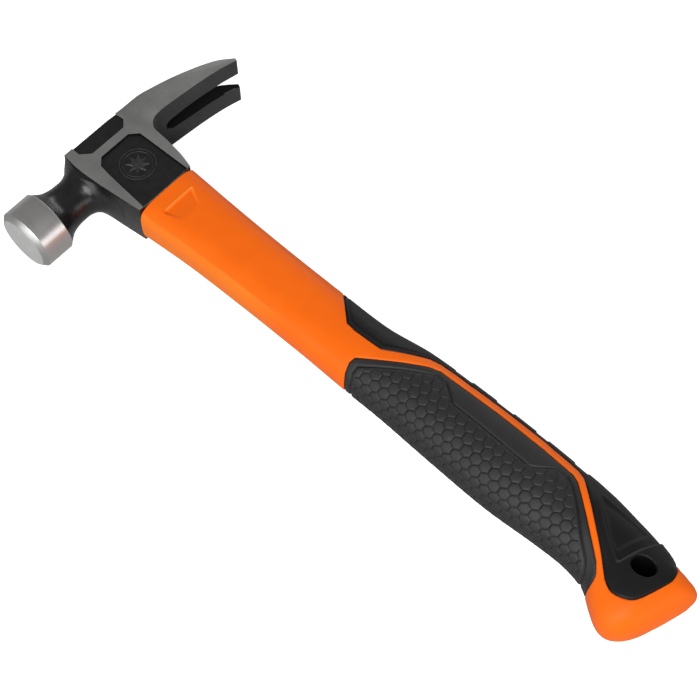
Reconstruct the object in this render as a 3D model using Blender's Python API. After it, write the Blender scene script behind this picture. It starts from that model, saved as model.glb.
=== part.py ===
"""Straight-claw hammer: one forged steel head on a fibreglass-cored handle with two soft grips.

Frame: +X along the head from the striking face to the claws, +Y up the handle to the head,
+Z out of the hammer's side, so the hammer lies on its side. Points are written in millimetres
from the crossing of the poll's axis and the mid-plane, and the origin is moved at the end to
the middle of the footprint.
"""

import math

import bmesh
import bpy
from mathutils import Vector

MM = 0.001

# ---- driving dimensions, millimetres ----
POLL_R = 14.75  # striking poll
FACE_FLAT_R = 12.3
FACE_X = -44.1  # where the flat of the face begins
CROWN = 0.5  # how far the face domes
CHAMFER_X = -41.9
POLL_BACK_X = -28.9
THROAT_R = 9.9

HEAD_TOP = 13.2  # above the poll's axis
HEAD_FOOT = -32.5  # lower rim of the eye, where the handle starts
CHEEK_HALF = 11.9  # half thickness of the head at the eye
CLAW_HALF = 14.75  # half width of the claws
CLAW_TIP = (83.3, -7.6)
SHOULDER_X = (27.5, 42.0)  # where the cheeks spread out to the claws
LAND_EDGE = 0.5
ROOT_R = 5.3  # fillet where the claws leave the eye
RECESS_DEPTH = 1.0

EYE_TOP = (14.2, 12.6, 7.6)  # centre in X, half length, half width
EYE_FOOT = (13.2, 11.0, 6.6)
CORE = (13.1, 8.6, 5.0)  # fibreglass rod: centre in X, half length, half width
CORE_TOP = 8.0
CORE_END = -281.0
BOND_TOP = 11.6

GRIP_SKIN = 2.6  # thickness of the soft mouldings
GAP = 0.3  # clearance between bonded pieces
HOLE = (11.8, -294.7)  # lanyard hole
HOLE_R = (4.2, 5.3)
HOLE_TILT = 15.0

AXIS_X = 13.0  # handle's centre line
# Handle sections: height along the axis, front edge, back edge, half thickness, squareness, slant.
HANDLE = (
    (-32.8, -3.9, 30.1, 11.9, 4.4, 0.0),
    (-60.0, -2.5, 29.3, 11.6, 3.6, 0.0),
    (-90.0, -2.1, 28.7, 11.4, 3.2, 0.0),
    (-125.0, -2.1, 28.6, 11.7, 2.8, 0.0),
    (-150.0, -2.7, 29.0, 12.8, 2.5, 0.0),
    (-172.0, -2.9, 32.2, 14.2, 2.3, 0.0),
    (-200.0, -4.0, 33.0, 14.65, 2.3, 0.0),
    (-230.0, -4.7, 33.0, 14.65, 2.3, 0.0),
    (-255.0, -3.3, 32.2, 14.5, 2.3, 0.0),
    (-270.0, -3.2, 31.4, 14.5, 2.3, -0.04),
    (-282.0, -5.5, 29.7, 14.4, 2.4, -0.11),
    (-292.0, -10.9, 27.6, 14.3, 2.5, -0.18),
    (-300.0, -14.5, 25.3, 14.1, 2.6, -0.24),
    (-306.9, -15.5, 22.9, 13.0, 2.7, -0.29),
    (-311.8, -13.6, 21.8, 10.4, 2.6, -0.32),
    (-314.8, -9.0, 19.2, 6.6, 2.5, -0.33),
    (-316.2, -1.0, 14.0, 1.6, 2.2, -0.33),
)
STATIONS = 44
RING = 36

# Side outlines of the two soft mouldings, from and back to the edge of the handle.
FRONT_GRIP = (
    (-30.0, -153.0), (-3.6, -152.6), (-1.0, -151.2), (3.1, -150.2), (5.8, -150.8),
    (22.6, -177.0), (24.3, -181.5), (25.4, -211.0), (25.2, -235.0), (24.3, -250.5),
    (22.8, -254.0), (1.5, -279.6), (-2.2, -282.6), (-4.5, -283.2), (-30.0, -283.2),
)
REAR_GRIP = (
    (60.0, -124.0), (28.0, -124.4), (15.9, -137.4), (15.3, -142.0), (15.6, -156.5),
    (26.3, -174.5), (27.8, -180.0), (29.1, -209.0), (29.1, -232.0), (28.0, -250.5),
    (26.4, -254.8), (5.0, -279.4), (-1.8, -286.4), (-4.2, -290.4), (-4.3, -294.5),
    (-2.4, -298.9), (1.2, -301.6), (8.9, -304.5), (15.0, -306.2), (20.8, -305.2),
    (24.6, -303.2), (60.0, -298.0),
)


# ---- small helpers ----
def material(name, colour, roughness, metallic):
    mat = bpy.data.materials.new(name)
    mat.use_nodes = True
    shader = mat.node_tree.nodes["Principled BSDF"]
    shader.inputs["Base Color"].default_value = (*colour, 1.0)
    shader.inputs["Roughness"].default_value = roughness
    shader.inputs["Metallic"].default_value = metallic
    return mat


def finish_mesh(name, bm, mat=None):
    bmesh.ops.remove_doubles(bm, verts=bm.verts, dist=1e-6)
    bmesh.ops.recalc_face_normals(bm, faces=bm.faces)
    mesh = bpy.data.meshes.new(name)
    bm.to_mesh(mesh)
    bm.free()
    mesh.shade_smooth()
    mesh.set_sharp_from_angle(angle=math.radians(30))
    obj = bpy.data.objects.new(name, mesh)
    bpy.context.collection.objects.link(obj)
    obj.parent = HAMMER
    if mat:
        mesh.materials.append(mat)
    return obj


def loft(name, rings, mat=None):
    """Skin through rings of equal length, with both ends closed."""
    bm = bmesh.new()
    rows = [[bm.verts.new(Vector(p) * MM) for p in ring] for ring in rings]
    for low, high in zip(rows, rows[1:]):
        for i in range(len(low)):
            j = (i + 1) % len(low)
            bm.faces.new((low[i], low[j], high[j], high[i]))
    bm.faces.new(rows[0])
    bm.faces.new(rows[-1])
    return finish_mesh(name, bm, mat)


def prism(name, outline, low, high, mat=None):
    """An XY outline drawn between two heights."""
    return loft(name, [[(x, y, z) for x, y in outline] for z in (low, high)], mat)


def oval(x, a, b, y, squareness, slant=0.0, count=RING):
    """One section of a bar along Y: centred at x, half sizes a and b."""
    ring = []
    for k in range(count):
        c, s = math.cos(math.tau * k / count), math.sin(math.tau * k / count)
        u = math.copysign(abs(c) ** (2 / squareness), c)
        w = math.copysign(abs(s) ** (2 / squareness), s)
        px = x + a * u
        ring.append((px, y + slant * (px - AXIS_X), b * w))
    return ring


def curve_through(points, steps):
    """Catmull-Rom curve through points of any size, steps to each span."""
    def at(p, q, r, s, t):
        return tuple(
            0.5 * (2 * b + (c - a) * t + (2 * a - 5 * b + 4 * c - d) * t**2 + (3 * b - a - 3 * c + d) * t**3)
            for a, b, c, d in zip(p, q, r, s)
        )

    full = [points[0], *points, points[-1]]
    out = []
    for i in range(1, len(full) - 2):
        out += [at(*full[i - 1 : i + 3], k / steps) for k in range(steps)]
    return out + [points[-1]]


# The lower end of the rear moulding is one soft curve.
REAR_GRIP = (*REAR_GRIP[:12], *curve_through(REAR_GRIP[12:21], 3), REAR_GRIP[21])


def handle_section(y, shrink=0.0):
    """The handle's section at a height on its axis, taken in by shrink."""
    rows = HANDLE
    i = max(k for k in range(len(rows) - 1) if rows[k][0] >= y or k == 0)
    span = rows[i + 1][0] - rows[i][0]
    t = (y - rows[i][0]) / span

    def slope(k):
        low, high = max(k - 1, 0), min(k + 1, len(rows) - 1)
        return [(b - a) / (rows[high][0] - rows[low][0]) * span for a, b in zip(rows[low], rows[high])]

    h = (2 * t**3 - 3 * t**2 + 1, t**3 - 2 * t**2 + t, -2 * t**3 + 3 * t**2, t**3 - t**2)
    _, front, back, half, squareness, slant = (
        h[0] * p + h[1] * m + h[2] * q + h[3] * n
        for p, m, q, n in zip(rows[i], slope(i), rows[i + 1], slope(i + 1))
    )
    front, back, half = front + shrink, back - shrink, half - shrink
    return oval((front + back) / 2, (back - front) / 2, half, y, squareness, slant)


def handle_body(name, top, end, shrink=0.0, mat=None):
    """The handle's outer shape between two heights, its sections drawn closer at the butt."""
    heights = [top + (end - top) * math.sin(math.pi / 2 * k / STATIONS) ** 1.15 for k in range(STATIONS + 1)]
    return loft(name, [handle_section(y, shrink) for y in heights], mat)


def grown(outline, by):
    """A closed outline moved outwards by a distance, its corners mitred."""
    count = len(outline)
    area = sum(outline[i][0] * outline[(i + 1) % count][1] - outline[(i + 1) % count][0] * outline[i][1] for i in range(count))
    side = math.copysign(by, area)
    out = []
    for i, (x, y) in enumerate(outline):
        (ax, ay), (bx, by_) = outline[i - 1], outline[(i + 1) % count]
        p, q = Vector((x - ax, y - ay)).normalized(), Vector((bx - x, by_ - y)).normalized()
        n = Vector((p.y + q.y, -p.x - q.x)).normalized()
        reach = side / max(n.dot(Vector((p.y, -p.x))), 0.4)
        out.append((x + n.x * reach, y + n.y * reach))
    return out


def boolean(obj, tool, operation="DIFFERENCE"):
    tool.hide_render = True
    tool.display_type = "WIRE"
    mod = obj.modifiers.new(f"{operation.lower()}_{tool.name}", "BOOLEAN")
    mod.operation = operation
    mod.solver = "EXACT"
    mod.object = tool


# ---- head ----
def poll_profile():
    """Radius of the turned poll and throat along X."""
    face = [(FACE_X - CROWN, 0.0), (FACE_X - CROWN, 7.0), (FACE_X - 0.3, 10.0), (FACE_X, FACE_FLAT_R), (CHAMFER_X, POLL_R)]
    neck = curve_through(
        [(POLL_BACK_X, POLL_R), (-27.4, 13.5), (-24.0, 11.3), (-20.0, 10.2), (-16.0, THROAT_R), (-12.5, 10.1),
         (-9.0, 11.3), (-6.6, 13.6), (-5.0, 18.0)], 2)
    return [*face, *neck, (2.0, 20.0), (2.0, 0.0)]


def turned(name, profile, segments):
    """A profile of (x, radius) spun about the X axis."""
    bm = bmesh.new()
    verts = [bm.verts.new(Vector((x, r, 0)) * MM) for x, r in profile]
    edges = [bm.edges.new(pair) for pair in zip(verts, verts[1:])]
    bmesh.ops.spin(bm, geom=verts + edges, cent=(0, 0, 0), axis=(1, 0, 0), angle=math.tau, steps=segments)
    return finish_mesh(name, bm)


def head_outline():
    """Side outline of the eye block and the claws."""
    top = curve_through([(22.0, HEAD_TOP), (31.0, 12.3), (43.0, 9.8), (59.0, 5.4), (75.0, -1.2), CLAW_TIP], 3)
    under = curve_through([(82.9, -9.0), (74.0, -6.8), (64.0, -5.2), (53.0, -4.0), (42.0, -3.0)], 2)
    root = [(37.2 - ROOT_R * math.sin(a), -2.8 - ROOT_R + ROOT_R * math.cos(a)) for a in (math.pi / 2 * k / 5 for k in range(6))]
    back = [(31.5, -15.0), (30.9, -20.0), (30.1, -26.0), (28.5, HEAD_FOOT)]
    front = [(-2.6, HEAD_FOOT), (-3.5, -24.0), (-4.6, -13.0), (-5.3, -4.0), (-5.5, 2.5), (-5.2, 8.0), (-4.6, HEAD_TOP)]
    return [*front, *top, *under, *root, *back]


def land_height(x):
    """Half width of the head's side: thin at the eye, spreading to the claws."""
    t = min(max((x - SHOULDER_X[0]) / (SHOULDER_X[1] - SHOULDER_X[0]), 0.0), 1.0)
    return CHEEK_HALF + (CLAW_HALF - CHEEK_HALF) * t * t * (3 - 2 * t)


def eye_block(name, mat):
    """The side outline given its width, with the rims of both sides broken."""
    bm = bmesh.new()
    face = bm.faces.new([bm.verts.new((x * MM, y * MM, 0)) for x, y in head_outline()])
    steps = [SHOULDER_X[0] + (SHOULDER_X[1] - SHOULDER_X[0]) * k / 6 for k in range(7)]
    for x in steps:
        bmesh.ops.bisect_plane(bm, geom=bm.verts[:] + bm.edges[:] + bm.faces[:], plane_co=(x * MM, 0, 0), plane_no=(1, 0, 0), dist=1e-7)
    flat = bm.faces[:]
    made = bmesh.ops.extrude_face_region(bm, geom=flat)
    raised = {v for v in made["geom"] if isinstance(v, bmesh.types.BMVert)}
    for v in bm.verts:
        v.co.z = (1 if v in raised else -1) * land_height(v.co.x / MM) * MM
    bmesh.ops.recalc_face_normals(bm, faces=bm.faces)
    bm.normal_update()
    rims = [e for e in bm.edges if len(e.link_faces) == 2 and {abs(round(f.normal.z)) for f in e.link_faces} == {0, 1}]
    bmesh.ops.bevel(bm, geom=rims, offset=LAND_EDGE * MM, segments=1, profile=0.5, affect="EDGES", clamp_overlap=True)
    return finish_mesh(name, bm, mat)


def nail_slot():
    """Cutter between the claws: a rounded root, wider under the claws than on top."""
    rows = ((41.6, 1.0, 0.4), (43.0, 2.5, 0.5), (46.0, 3.2, 0.6), (55.0, 3.8, 0.9), (65.0, 4.0, 1.6), (75.0, 4.2, 2.5), (92.0, 4.8, 4.0))
    rings = []
    for x, low, high in rows:
        drop = 0.1 * (x - 41.6)
        rings.append([(x, -12.0 - drop, -low), (x, -12.0 - drop, low), (x, 16.0 - 2 * drop, high), (x, 16.0 - 2 * drop, -high)])
    return loft("cut_nail_slot", rings)


def build_head(mat):
    head = eye_block("head", mat)
    poll = turned("add_poll", poll_profile(), 40)
    for v in poll.data.vertices:  # the throat is flatter towards the cheeks
        v.co.z *= 1 - 0.10 * min(max((v.co.x / MM + 15.0) / 9.0, 0.0), 1.0)
    low, high, side = -26.0, HEAD_TOP - LAND_EDGE, CHEEK_HALF - LAND_EDGE
    keep = loft("keep_poll", [
        [(-60.0, -40, -40), (-60.0, 40, -40), (-60.0, 40, 40), (-60.0, -40, 40)],
        [(-12.0, -40, -40), (-12.0, 40, -40), (-12.0, 40, 40), (-12.0, -40, 40)],
        [(-11.9, low, -side), (-11.9, high, -side), (-11.9, high, side), (-11.9, low, side)],
        [(1.0, low, -side), (1.0, high, -side), (1.0, high, side), (1.0, low, side)],
    ])
    boolean(poll, keep, "INTERSECT")
    boolean(head, poll, "UNION")

    cx, a, b = EYE_FOOT
    tx, ta, tb = EYE_TOP
    slope = [(t - f) / (HEAD_TOP - HEAD_FOOT) for t, f in zip(EYE_TOP, EYE_FOOT)]
    reach = 3.0
    eye = loft("cut_eye", [
        oval(cx - slope[0] * reach, a - slope[1] * reach, b - slope[2] * reach, HEAD_FOOT - reach, 4.0, count=28),
        oval(tx + slope[0] * reach, ta + slope[1] * reach, tb + slope[2] * reach, HEAD_TOP + reach, 4.0, count=28),
    ])
    boolean(head, eye)
    boolean(head, nail_slot())

    corner = [(0.1, 30.0), (0.1, 8.6), (4.4, 4.5), (23.6, 4.5), (26.7, 7.8), (26.1, HEAD_TOP), (26.1, 30.0)]
    cheek = [(-0.3, -60.0), (-0.3, -32.5), (0.7, -19.7), (1.5, -9.4), (2.3, -3.2), (5.8, 0.2), (22.3, 0.2),
             (26.2, -3.4), (26.4, -12.0), (26.8, -32.5), (26.8, -60.0)]
    for name, outline in (("corner", corner), ("cheek", cheek)):
        for side in (-1, 1):
            floor = side * (CHEEK_HALF - RECESS_DEPTH)
            boolean(head, prism(f"cut_{name}_{'near' if side > 0 else 'far'}", outline, min(floor, side * 30), max(floor, side * 30)))
    return head


# ---- what is bonded into the eye ----
def build_core(mat):
    x, a, b = CORE
    return loft("core_rod", [oval(x, a, b, y, 2.4, count=28) for y in (CORE_END, CORE_TOP)], mat)


def build_bond(mat):
    """Cured resin that fills the tapered eye round the rod and over its end."""
    def eye_at(y):
        t = (y - HEAD_FOOT) / (HEAD_TOP - HEAD_FOOT)
        x, a, b = (f + (g - f) * t for f, g in zip(EYE_FOOT, EYE_TOP))
        return oval(x, a - GAP, b - GAP, y, 4.0, count=28)

    bond = loft("epoxy_bond", [eye_at(y) for y in (HEAD_FOOT + 0.4, BOND_TOP)], mat)
    x, a, b = CORE
    boolean(bond, loft("cut_core_seat", [oval(x, a + GAP, b + GAP, y, 2.4, count=28) for y in (HEAD_FOOT - 5, CORE_TOP + GAP)]))
    return bond


# ---- handle ----
def hole_cutter(name, grow=0.0):
    t = math.radians(90 - HOLE_TILT)
    ring = []
    for k in range(28):
        u, w = (HOLE_R[1] + grow) * math.cos(math.tau * k / 28), (HOLE_R[0] + grow) * math.sin(math.tau * k / 28)
        ring.append((HOLE[0] - u * math.cos(t) - w * math.sin(t), HOLE[1] + u * math.sin(t) - w * math.cos(t)))
    return prism(name, ring, -30, 30)


def build_jacket(mat):
    jacket = handle_body("handle_jacket", HANDLE[0][0], HANDLE[-1][0], mat=mat)
    for name, outline in (("front", FRONT_GRIP), ("rear", REAR_GRIP)):
        boolean(jacket, prism(f"cut_{name}_pocket", grown(outline, GAP / 2), -30, 30))
    boolean(jacket, handle_body("add_grip_seat", -116.0, -311.5, GRIP_SKIN + GAP / 2), "UNION")
    x, a, b = CORE
    boolean(jacket, loft("cut_core_bore", [oval(x, a + GAP, b + GAP, y, 2.4, count=28) for y in (CORE_END - GAP, 0.0)]))
    boolean(jacket, hole_cutter("cut_jacket_hole"))
    return jacket


def build_grip(name, outline, mat):
    grip = handle_body(name, -110.0, -316.0, mat=mat)
    boolean(grip, prism(f"keep_{name}", grown(outline, -GAP / 2), -30, 30), "INTERSECT")
    boolean(grip, handle_body(f"cut_{name}_seat", -105.0, -311.6, GRIP_SKIN - GAP / 2))
    return grip


for old in list(bpy.data.objects):
    bpy.data.objects.remove(old, do_unlink=True)

HAMMER = bpy.data.objects.new("hammer", None)
bpy.context.collection.objects.link(HAMMER)
steel = material("forged_steel", (0.16, 0.16, 0.17), 0.35, 1.0)
fibreglass = material("fibreglass", (0.75, 0.68, 0.45), 0.5, 0.0)
resin = material("epoxy_resin", (0.03, 0.03, 0.035), 0.25, 0.0)
orange = material("orange_plastic", (0.88, 0.15, 0.02), 0.42, 0.0)
rubber = material("black_rubber", (0.02, 0.02, 0.022), 0.6, 0.0)

build_head(steel)
build_core(fibreglass)
build_bond(resin)
jacket = build_jacket(orange)
build_grip("front_grip", FRONT_GRIP, rubber)
rear_grip = build_grip("rear_grip", REAR_GRIP, rubber)
boolean(rear_grip, hole_cutter("cut_grip_hole"))

butt_end = min(v.co.y for v in jacket.data.vertices) / MM
HAMMER.location = Vector((-(FACE_X - CROWN + CLAW_TIP[0]) / 2, -(POLL_R + butt_end) / 2, CLAW_HALF)) * MM
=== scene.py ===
"""The looks of the straight-claw hammer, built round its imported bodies.

Points are written in millimetres from the crossing of the poll's axis and the mid-plane, with
+X towards the claws, +Y up the handle and +Z out of the side that faces up. ORIGIN carries
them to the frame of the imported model.
"""

import math

import bmesh
import bpy
import numpy as np
from mathutils import Matrix, Vector


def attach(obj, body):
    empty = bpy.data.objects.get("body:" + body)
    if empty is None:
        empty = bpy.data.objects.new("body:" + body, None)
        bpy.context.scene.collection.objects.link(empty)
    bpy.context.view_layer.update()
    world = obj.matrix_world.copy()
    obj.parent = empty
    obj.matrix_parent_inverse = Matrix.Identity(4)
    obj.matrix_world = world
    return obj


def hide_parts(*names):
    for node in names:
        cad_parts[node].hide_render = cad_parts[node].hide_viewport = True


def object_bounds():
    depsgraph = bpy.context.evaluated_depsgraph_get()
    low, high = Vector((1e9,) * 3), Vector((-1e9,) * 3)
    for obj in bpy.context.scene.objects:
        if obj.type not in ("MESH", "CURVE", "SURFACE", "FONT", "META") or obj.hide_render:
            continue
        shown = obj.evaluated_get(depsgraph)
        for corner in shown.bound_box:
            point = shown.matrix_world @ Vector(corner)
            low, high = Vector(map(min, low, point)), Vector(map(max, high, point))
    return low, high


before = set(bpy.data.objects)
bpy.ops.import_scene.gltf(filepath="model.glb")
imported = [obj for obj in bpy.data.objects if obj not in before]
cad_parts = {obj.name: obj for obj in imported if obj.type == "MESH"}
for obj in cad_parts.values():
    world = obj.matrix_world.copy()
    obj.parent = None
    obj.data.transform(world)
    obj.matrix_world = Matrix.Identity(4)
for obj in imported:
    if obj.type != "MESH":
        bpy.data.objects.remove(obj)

MM = 0.001
NEAR = 1e-6  # metres; points closer than this are one point
ON_PLANE = 1e-7  # metres
BIG = 1e9
cad_low, cad_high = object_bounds()

# ---- driving dimensions, millimetres ----
POLL_R = 14.75
FACE_FLAT_R = 12.3
FACE_X = -44.1
CROWN = 0.5
CHAMFER_X = -41.9
POLL_BACK_X = -28.9
THROAT_R = 9.9

HEAD_TOP = 13.2
HEAD_FOOT = -32.5
CHEEK_HALF = 11.9
CLAW_HALF = 14.75
CLAW_TIP = (83.3, -7.6)
SHOULDER_X = (27.5, 42.0)  # where the head widens from the cheek to the claws
LAND_EDGE = 0.45  # rounding round the rim of each side
FRONT_OF_BLOCK = -5.6  # the flat sides begin behind this X
ROOT_START = (37.2, -2.8)  # where the curve under the claws' root begins
ROOT_R = 5.3
FOOT_RIM = 0.45  # worn band round the foot
RECESS_DEPTH = 1.0
RECESS_SLOPE = 0.75  # how far a recess's wall leans out
CORNER_RECESS = (
    (0.1, 30.0), (0.1, 8.6), (4.4, 4.5), (23.6, 4.5), (26.7, 7.8), (26.1, HEAD_TOP), (26.1, 30.0),
)
CHEEK_RECESS = (
    (-0.3, -60.0), (-0.3, -32.5), (0.7, -19.7), (1.5, -9.4), (2.3, -3.2), (5.8, 0.2),
    (22.3, 0.2), (26.2, -3.4), (26.4, -12.0), (26.8, -32.5), (26.8, -60.0),
)
# Nail slot: X, half width under the claws and half width above them.
SLOT_START = 41.6
SLOT_ROWS = (
    (SLOT_START, 0.9, 0.35), (43.0, 2.5, 0.5), (46.0, 3.2, 0.6), (55.0, 3.8, 0.9),
    (65.0, 4.0, 1.6), (75.0, 4.2, 2.5), (92.0, 4.8, 4.0),
)
SLOT_BREAK = 0.5  # how far the slot's lower edges are broken
# Underside of the claws, as X and Y, for the slot's broken edges.
CLAW_UNDER_X = (42.0, 53.0, 64.0, 74.0, 83.0, 92.0)
CLAW_UNDER_Y = (-3.0, -4.0, -5.2, -6.8, -9.0, -11.0)

# Ovals across the handle's axis: centre X, half length and half width.
EYE_TOP = (14.2, 12.6, 7.6)
EYE_FOOT = (13.2, 11.0, 6.6)
EYE_SQUARENESS = 4.0
CORE = (13.1, 8.6, 5.0)
CORE_SQUARENESS = 2.4
CORE_TOP = 8.0
CORE_END = -281.0
BOND_TOP = 11.6

EMBLEM = (14.2, -14.1)  # centre of the round cheek emblem
EMBLEM_R = 8.5
EMBLEM_RISE = 0.4
EMBLEM_ROOT = 0.4  # how deep the emblem is let into the floor of its recess
STAR_POINTS = 8
STAR_R = (5.6, 2.7)  # at the points and between them
STAR_TOP = 0.82  # size of the star's top against its foot
CIRCLE = 96  # points round a circle or an oval

GRIP_SKIN = 2.6
GAP = 0.3
THROUGH = 30.0  # beyond the handle on either side, for tools that cut right through it
HOLE = (11.8, -294.7)
HOLE_R = (4.2, 5.3)
HOLE_TILT = 15.0
HOLE_RIM = 0.5
HOLE_WALL_REACH = 1.5  # the hole's wall lies within this of its outline

AXIS_X = 13.0
# Handle sections: height along the axis, front edge, back edge, half thickness, squareness, slant.
HANDLE = np.array((
    (-32.8, -3.9, 30.1, 11.9, 4.4, 0.0),
    (-60.0, -2.5, 29.3, 11.6, 3.6, 0.0),
    (-90.0, -2.1, 28.7, 11.4, 3.2, 0.0),
    (-125.0, -2.1, 28.6, 11.7, 2.8, 0.0),
    (-150.0, -2.7, 29.0, 12.8, 2.5, 0.0),
    (-172.0, -2.9, 32.2, 14.2, 2.3, 0.0),
    (-200.0, -4.0, 33.0, 14.65, 2.3, 0.0),
    (-230.0, -4.7, 33.0, 14.65, 2.3, 0.0),
    (-255.0, -3.3, 32.2, 14.5, 2.3, 0.0),
    (-270.0, -3.2, 31.4, 14.5, 2.3, -0.04),
    (-282.0, -5.5, 29.7, 14.4, 2.4, -0.11),
    (-292.0, -10.9, 27.6, 14.3, 2.5, -0.18),
    (-300.0, -14.5, 25.3, 14.1, 2.6, -0.24),
    (-306.9, -15.5, 22.9, 13.0, 2.7, -0.29),
    (-311.8, -13.6, 21.8, 10.4, 2.6, -0.32),
    (-314.8, -9.0, 19.2, 6.6, 2.5, -0.33),
    (-316.2, -1.0, 14.0, 1.6, 2.2, -0.33),
))

# Side outlines of the two soft mouldings, from and back to the edge of the handle.
FRONT_GRIP = (
    (-30.0, -153.0), (-3.6, -152.6), (-1.0, -151.2), (3.1, -150.2), (5.8, -150.8),
    (22.6, -177.0), (24.3, -181.5), (25.4, -211.0), (25.2, -235.0), (24.3, -250.5),
    (22.8, -254.0), (1.5, -279.6), (-2.2, -282.6), (-4.5, -283.2), (-30.0, -283.2),
)
REAR_GRIP = (
    (60.0, -124.0), (28.0, -124.4), (15.9, -137.4), (15.3, -142.0), (15.6, -156.5),
    (26.3, -174.5), (27.8, -180.0), (29.1, -209.0), (29.1, -232.0), (28.0, -250.5),
    (26.4, -254.8), (5.0, -279.4), (-1.8, -286.4), (-4.2, -290.4), (-4.3, -294.5),
    (-2.4, -298.9), (1.2, -301.6), (8.9, -304.5), (15.0, -306.2), (20.8, -305.2),
    (24.6, -303.2), (60.0, -298.0),
)
POCKET_RIM = 0.4  # rounding of the jacket's edges along the grips
JACKET_TOP_RIM = 0.5
GRIP_RIM = 0.6
BUTT_TURN = -303.0  # where the butt begins to round off
BUTT_CORNER = (19.0, -301.5)  # start of the eased back corner in X, and its middle height
BUTT_CORNER_EASE = 0.8

# Raised honeycomb panel of the front grip, and its cells.
PANEL = (
    (-30.0, -156.6), (-3.0, -155.7), (0.2, -154.1), (3.5, -153.9), (13.4, -168.7),
    (21.5, -181.7), (21.4, -187.2), (17.7, -192.4), (15.7, -195.1), (15.7, -209.3),
    (15.2, -225.2), (14.8, -235.8), (15.8, -237.6), (21.3, -243.9), (21.8, -249.5),
    (19.6, -253.7), (15.5, -258.9), (4.3, -270.4), (-0.4, -276.0), (-5.2, -279.3),
    (-30.0, -279.8),
)
PANEL_RISE = 0.12
PANEL_GROOVE = 0.45  # half width of the groove round the panel
BORDER_DEPTH = 0.6
CELL_PITCH = 4.98
CELL_PHASE = -182.54
CELL_GROOVE = 0.42  # half width
CELL_DEPTH = 0.30
CELL_DOME = 0.10
CELL_MARGIN = (0.9, 0.6)  # the cells begin this far inside the panel, and come in over this
FRONT_ROW_STEP = 3.85  # the first two rows of cells close up over the front ridge
# Sunk panel of the rear grip above the lanyard hole, and the deeper field inside it.
REAR_PANEL = (
    (45.0, -258.0), (24.3, -264.3), (15.2, -273.5), (11.2, -279.0), (6.8, -285.9),
    (7.1, -286.2), (14.4, -288.7), (23.1, -292.4), (45.0, -301.0),
)
REAR_PANEL_DEPTH = 0.65
REAR_FIELD = ((25.4, -264.5), (11.7, -279.6), (10.4, -283.0), (24.8, -288.4))
REAR_FIELD_DEPTH = 0.35
REAR_LIP = 0.16
LIP_WIDTH = 0.34
# Fine groove that follows the rear grip's outline: how far inside it, its width and its depth.
REAR_GROOVE = (1.7, 0.4, 0.3)
# Top and end of each dip between the pads down the back.
DIPS = ((-183.4, -193.6), (-205.2, -215.3), (-226.0, -233.4), (-246.3, -254.4))
PAD_RISE = 0.22
DIP_DEPTH = 0.47
# Sunk wedge on the neck's sides: deep at the head end and running out towards the grip.
NOTCH = ((3.6, -41.0), (20.9, -41.0), (16.7, -49.6), (6.7, -49.6))
NOTCH_DEPTH = 1.1
NOTCH_LIP = 0.14
NOTCH_SLANT = 0.36  # how far the wedge's lower side leans in for each millimetre down the neck
# Soft ridge between the neck's sides and its front: heights, then X and Z at each.
NECK_RIDGE = ((-83.4, -60.3, -40.5, -32.8), (0.4, -0.5, -1.8, -2.0), (8.9, 8.9, 9.2, 9.6))
NECK_RIDGE_WIDTH = 1.4
NECK_RIDGE_SINK = 0.24  # how far the neck falls away on both sides of the ridge
NECK_RIDGE_FADE = (-122.0, 30.0)  # where the ridge begins, and the height over which it comes in

ORIGIN = np.array(
    (cad_high.x / MM - CLAW_TIP[0], cad_high.y / MM - POLL_R, cad_high.z / MM - CLAW_HALF)
)


# ---- meshes ----
def new_object(name, mesh):
    obj = bpy.data.objects.new(name, mesh)
    bpy.context.scene.collection.objects.link(obj)
    return obj


def mesh_object(name, points, faces):
    """An object from points in millimetres."""
    mesh = bpy.data.meshes.new(name)
    mesh.from_pydata((np.asarray(points, float) + ORIGIN) * MM, [], faces)
    bm = bmesh.new()
    bm.from_mesh(mesh)
    bmesh.ops.recalc_face_normals(bm, faces=bm.faces)
    bm.to_mesh(mesh)
    bm.free()
    return new_object(name, mesh)


def loft(name, rings):
    """Skin through rings of equal length, with both ends closed."""
    rings = np.asarray(rings, float)
    rows, count = rings.shape[:2]
    k = np.arange(count)
    faces = []
    for r in range(rows - 1):
        a, b = r * count + k, r * count + (k + 1) % count
        faces += np.column_stack((a, b, b + count, a + count)).tolist()
    faces += [k.tolist(), (k + (rows - 1) * count).tolist()]
    return mesh_object(name, rings.reshape(-1, 3), faces)


def prism(name, outline, low, high):
    """An XY outline run from one Z to another."""
    return loft(name, [[(x, y, z) for x, y in outline] for z in (low, high)])


def grown(outline, distance):
    """A closed outline moved outwards by a distance, its corners mitred up to a limit."""
    mitre_limit = 0.4
    after = [*outline[1:], outline[0]]
    area = sum(x * by - bx * y for (x, y), (bx, by) in zip(outline, after))
    outwards = math.copysign(distance, area)
    out = []
    for i, (x, y) in enumerate(outline):
        (ax, ay), (bx, by) = outline[i - 1], after[i]
        p, q = Vector((x - ax, y - ay)).normalized(), Vector((bx - x, by - y)).normalized()
        n = Vector((p.y + q.y, -p.x - q.x)).normalized()
        shift = outwards / max(n.dot(Vector((p.y, -p.x))), mitre_limit)
        out.append((x + n.x * shift, y + n.y * shift))
    return out


def combine(obj, tools):
    """obj with each (operation, tool) applied in turn, as plain mesh data; the tools are gone."""
    for operation, tool in tools:
        mod = obj.modifiers.new(operation, "BOOLEAN")
        mod.operation = operation
        mod.solver = "MANIFOLD"
        mod.object = tool
    depsgraph = bpy.context.evaluated_depsgraph_get()
    baked = bpy.data.meshes.new_from_object(obj.evaluated_get(depsgraph))
    obj.modifiers.clear()
    obj.data = baked
    baked.materials.clear()
    baked.polygons.foreach_set("material_index", np.zeros(len(baked.polygons), np.int32))
    for _, tool in tools:
        bpy.data.objects.remove(tool, do_unlink=True)
    return obj


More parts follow.
